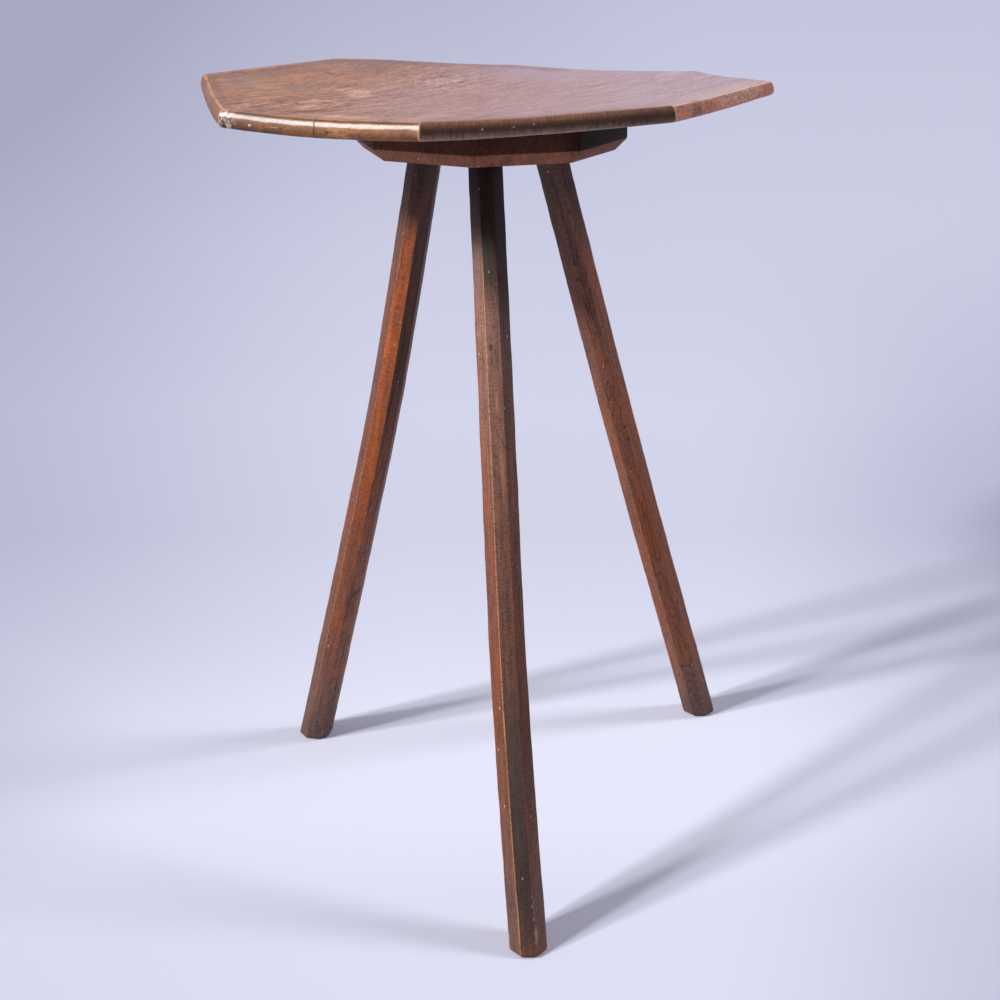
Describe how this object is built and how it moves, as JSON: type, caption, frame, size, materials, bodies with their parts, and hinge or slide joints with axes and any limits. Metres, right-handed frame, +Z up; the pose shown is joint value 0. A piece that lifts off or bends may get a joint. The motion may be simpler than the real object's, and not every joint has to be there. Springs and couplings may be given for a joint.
{
  "type": "side table",
  "caption": "Rustic side table: warped octagonal board with a rounded edge on a chamfered octagonal block, carried by splayed, bowed octagonal legs.",
  "frame": {"origin": "on the floor, midway between the table's outermost points in X and in Y", "axes": "+Z up, the front leg splays towards -Y, +X to the right when seen from the front"},
  "size_m": [0.5102, 0.5312, 0.7163],
  "materials": {
    "board_wood": "waxed and worn, satin",
    "block_wood": "dark stain, dull",
    "leg_wood": "stained and worn at the arrises, satin",
    "wedge_wood": "bare",
    "screw_steel": "tarnished"
  },
  "bodies": {
    "root": {"top_board": "board_wood", "under_block": "block_wood", "leg_front": "leg_wood", "leg_left": "leg_wood", "leg_right": "leg_wood", "wedge_front": "wedge_wood", "wedge_left": "wedge_wood", "wedge_right": "wedge_wood", "screw_rear": "screw_steel", "screw_left": "screw_steel", "screw_right": "screw_steel"}
  },
  "joints": []
}
